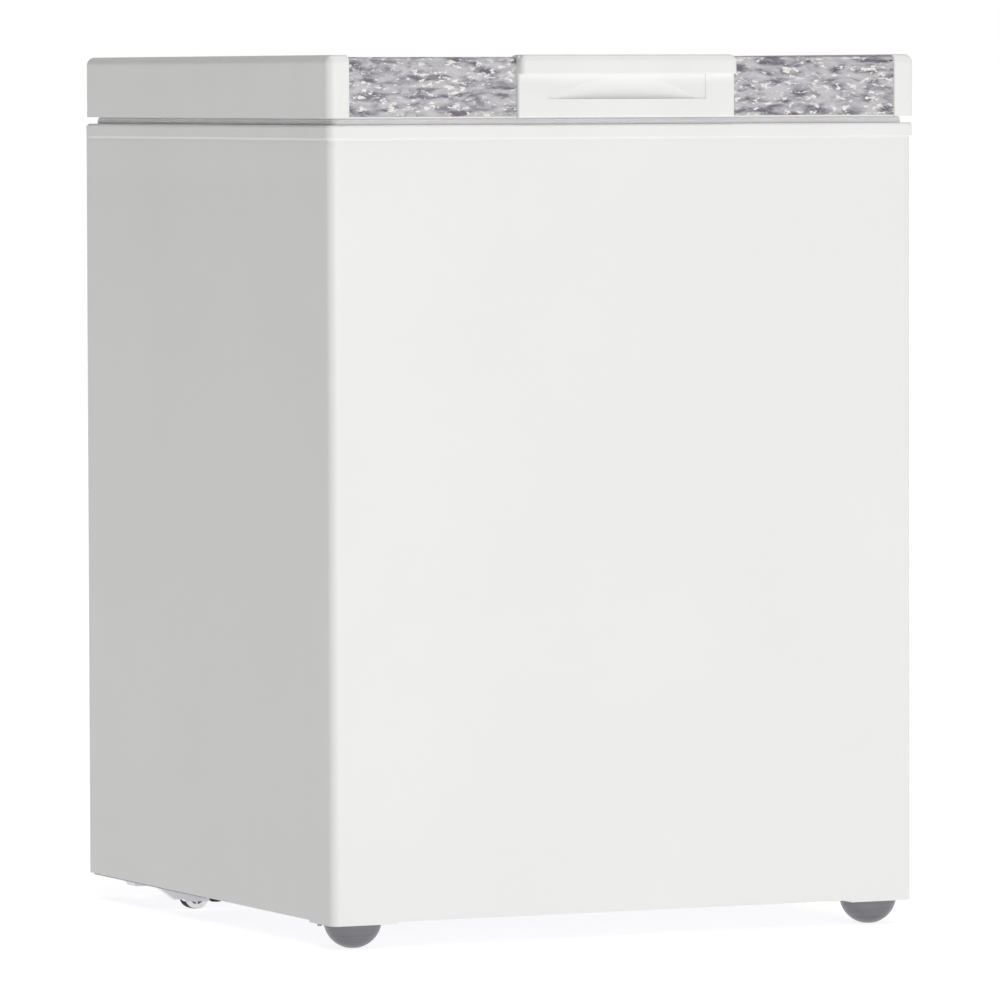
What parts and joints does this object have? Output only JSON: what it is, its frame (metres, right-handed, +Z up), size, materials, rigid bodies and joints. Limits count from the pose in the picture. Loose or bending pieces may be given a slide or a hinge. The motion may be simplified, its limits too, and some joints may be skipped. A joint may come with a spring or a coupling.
{
  "type": "chest freezer",
  "caption": "Upright-format chest freezer with a hinged lid, patterned lid sheet, front pull handle, domed front feet and two rollers towards the back.",
  "frame": {"origin": "middle of the overall footprint, on the floor", "axes": "+X to the right seen from the front, +Y to the back, +Z up"},
  "size_m": [0.624, 0.6464, 0.85],
  "materials": {
    "white_enamel": "satin",
    "white_plastic": "satin",
    "patterned_sheet": "satin",
    "liner_aluminium": "satin",
    "foam": "matte",
    "galvanised_steel": "satin",
    "zinc_plated_steel": "satin",
    "bright_dome": "gloss",
    "black_enamel": "satin",
    "copper_tube": "satin",
    "black_rubber": "matte",
    "tread_rubber": "matte",
    "grey_seal": "matte",
    "black_plastic": "satin",
    "grey_plastic": "satin",
    "motor_steel": "matte",
    "green_lens": "gloss"
  },
  "bodies": {
    "cabinet": {"outer_shell": "white_enamel", "rear_panel": "galvanised_steel", "bottom_panel": "galvanised_steel", "bay_wall": "galvanised_steel", "rear_base_plate": "galvanised_steel", "inner_liner": "liner_aluminium", "cabinet_foam": "foam", "evaporator_coil": "liner_aluminium", "condenser_coil": "zinc_plated_steel", "top_collar": "white_plastic", "rear_grille": "galvanised_steel", "cabinet_screws": "zinc_plated_steel", "cord_gland": "black_rubber", "thermostat_housing": "grey_plastic", "pilot_lens": "green_lens", "drain_tube": "white_plastic", "storage_basket": "white_plastic", "foot_plates": "white_enamel", "foot_nuts": "zinc_plated_steel", "roller_brackets": "white_plastic", "rear_rests": "white_plastic", "bracket_rivets": "zinc_plated_steel", "roller_axles": "zinc_plated_steel", "rubber_stops": "black_rubber", "compressor_shell": "black_enamel", "compressor_motor": "motor_steel", "terminal_cover": "black_plastic", "compressor_grommets": "black_rubber", "compressor_bolts": "zinc_plated_steel", "suction_line": "copper_tube", "discharge_line": "copper_tube", "filter_drier": "copper_tube", "capillary_tube": "copper_tube", "hinge_bases": "zinc_plated_steel", "hinge_pins": "zinc_plated_steel", "hinge_springs": "zinc_plated_steel"},
    "lid": {"lid_rail_left": "white_plastic", "lid_rail_right": "white_plastic", "lid_sheet": "patterned_sheet", "lid_rear_rail": "white_plastic", "lid_liner": "white_plastic", "lid_foam": "foam", "lid_gasket": "grey_seal", "handle": "white_plastic", "lid_screws": "zinc_plated_steel", "hinge_arms": "zinc_plated_steel"},
    "knob": {"thermostat_knob": "white_plastic"},
    "drain": {"drain_plug": "grey_seal"},
    "foot_left": {"foot_dome_left": "bright_dome"},
    "stud_left": {"foot_stud_left": "zinc_plated_steel"},
    "roller_left": {"roller_core_left": "white_plastic", "roller_tyre_left": "tread_rubber"},
    "foot_right": {"foot_dome_right": "bright_dome"},
    "stud_right": {"foot_stud_right": "zinc_plated_steel"},
    "roller_right": {"roller_core_right": "white_plastic", "roller_tyre_right": "tread_rubber"}
  },
  "joints": [
    {"name": "lid_hinge", "type": "hinge", "parent": "cabinet", "child": "lid", "pos_m": [0, 0.3152, 0.787], "axis": [-1, 0, 0], "range_deg": [0, 80]},
    {"name": "thermostat_turn", "type": "hinge", "parent": "cabinet", "child": "knob", "pos_m": [0.31, 0.1832, 0.14], "axis": [1, 0, 0], "range_deg": [0, 270]},
    {"name": "drain_pull", "type": "slide", "parent": "cabinet", "child": "drain", "axis": [0, 0, 1], "range_m": [0, 0.03]},
    {"name": "foot_left_height", "type": "slide", "parent": "cabinet", "child": "foot_left", "axis": [0, 0, -1], "range_m": [0, 0.008]},
    {"name": "foot_left_screw", "type": "hinge", "parent": "foot_left", "child": "stud_left", "pos_m": [-0.276, -0.2808, 0], "axis": [0, 0, -1], "range_deg": [0, 2304]},
    {"name": "roller_left_spin", "type": "hinge", "parent": "cabinet", "child": "roller_left", "pos_m": [-0.261, 0.1382, 0.013], "axis": [0, 1, 0], "continuous": true},
    {"name": "foot_right_height", "type": "slide", "parent": "cabinet", "child": "foot_right", "axis": [0, 0, -1], "range_m": [0, 0.008]},
    {"name": "foot_right_screw", "type": "hinge", "parent": "foot_right", "child": "stud_right", "pos_m": [0.276, -0.2808, 0], "axis": [0, 0, -1], "range_deg": [0, 2304]},
    {"name": "roller_right_spin", "type": "hinge", "parent": "cabinet", "child": "roller_right", "pos_m": [0.261, 0.1382, 0.013], "axis": [0, 1, 0], "continuous": true}
  ],
  "couplings": [
    {"joint": "foot_left_screw", "follows": "foot_left_height", "rad_per_m": 5026.6},
    {"joint": "foot_right_screw", "follows": "foot_right_height", "rad_per_m": 5026.6}
  ]
}
